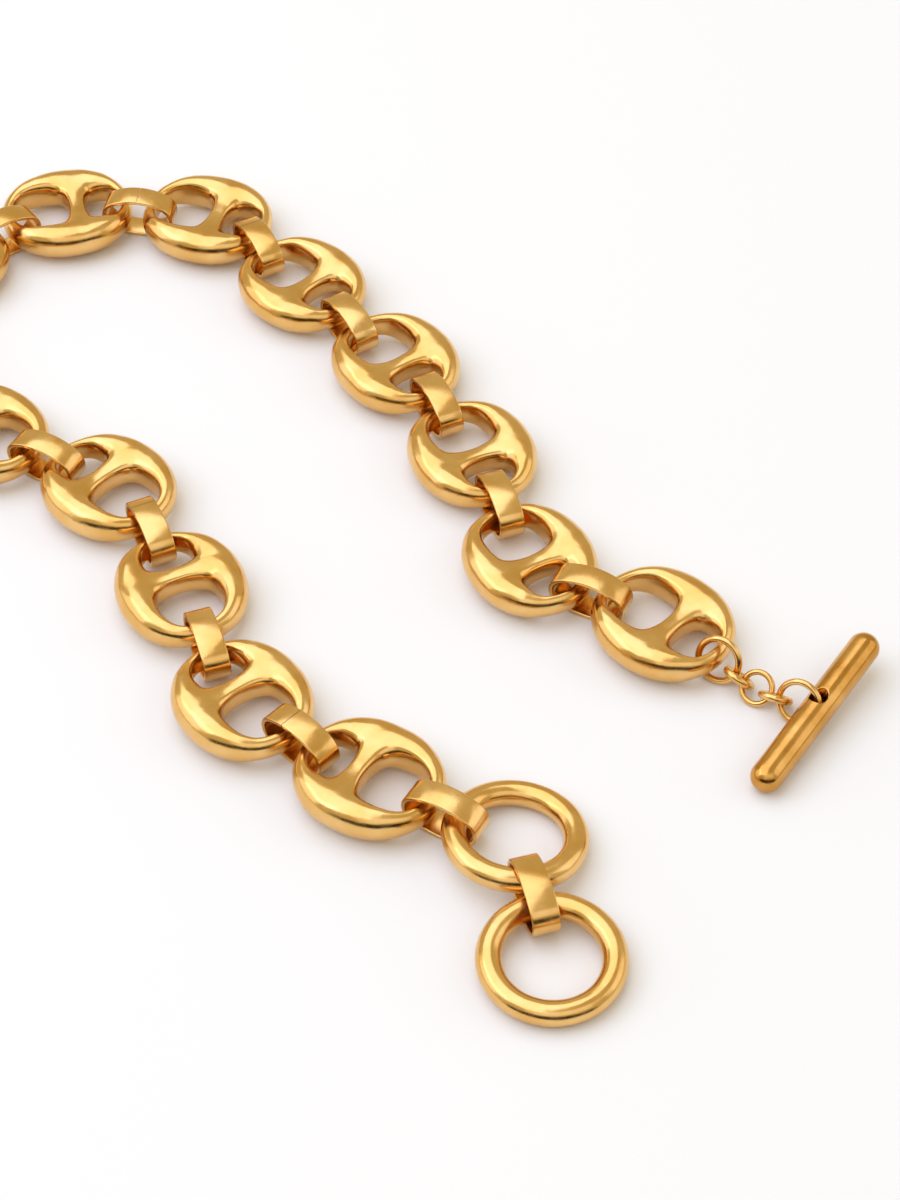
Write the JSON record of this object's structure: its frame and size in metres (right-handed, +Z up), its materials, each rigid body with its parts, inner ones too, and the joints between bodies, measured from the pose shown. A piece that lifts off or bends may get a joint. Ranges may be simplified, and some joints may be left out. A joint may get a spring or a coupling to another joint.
{
  "type": "necklace",
  "caption": "Gold-tone necklace of puffed mariner links joined by band connectors, with round rings and a toggle bar, lying open in a loop.",
  "frame": {"origin": "middle of the footprint, at the surface that the chain lies on", "axes": "+X to the right of the picture, +Y away from the viewer, +Z up from the surface"},
  "size_m": [0.1662, 0.178, 0.0075],
  "materials": {
    "link_gold": "satin gold plate, lightly rubbed",
    "band_gold": "polished gold plate with fine scratches",
    "ring_gold": "polished gold plate",
    "bar_gold": "polished gold plate, fine turned lines",
    "fine_gold": "polished gold plate"
  },
  "bodies": {
    "root": {"link_01": "link_gold", "link_02": "link_gold", "link_03": "link_gold", "link_04": "link_gold", "link_05": "link_gold", "link_06": "link_gold", "link_07": "link_gold", "link_08": "link_gold", "link_09": "link_gold", "link_10": "link_gold", "link_11": "link_gold", "link_12": "link_gold", "link_13": "link_gold", "link_14": "link_gold", "band_01": "band_gold", "band_02": "band_gold", "band_03": "band_gold", "band_04": "band_gold", "band_05": "band_gold", "band_06": "band_gold", "band_07": "band_gold", "band_08": "band_gold", "band_09": "band_gold", "band_10": "band_gold", "band_11": "band_gold", "band_12": "band_gold", "band_13": "band_gold", "ring_band": "band_gold", "end_band": "band_gold", "inner_ring": "ring_gold", "toggle_ring": "ring_gold", "toggle_bar": "bar_gold", "jump_ring": "fine_gold", "chain_link_1": "fine_gold", "chain_link_2": "fine_gold", "chain_link_3": "fine_gold", "bar_ring": "fine_gold"}
  },
  "joints": []
}
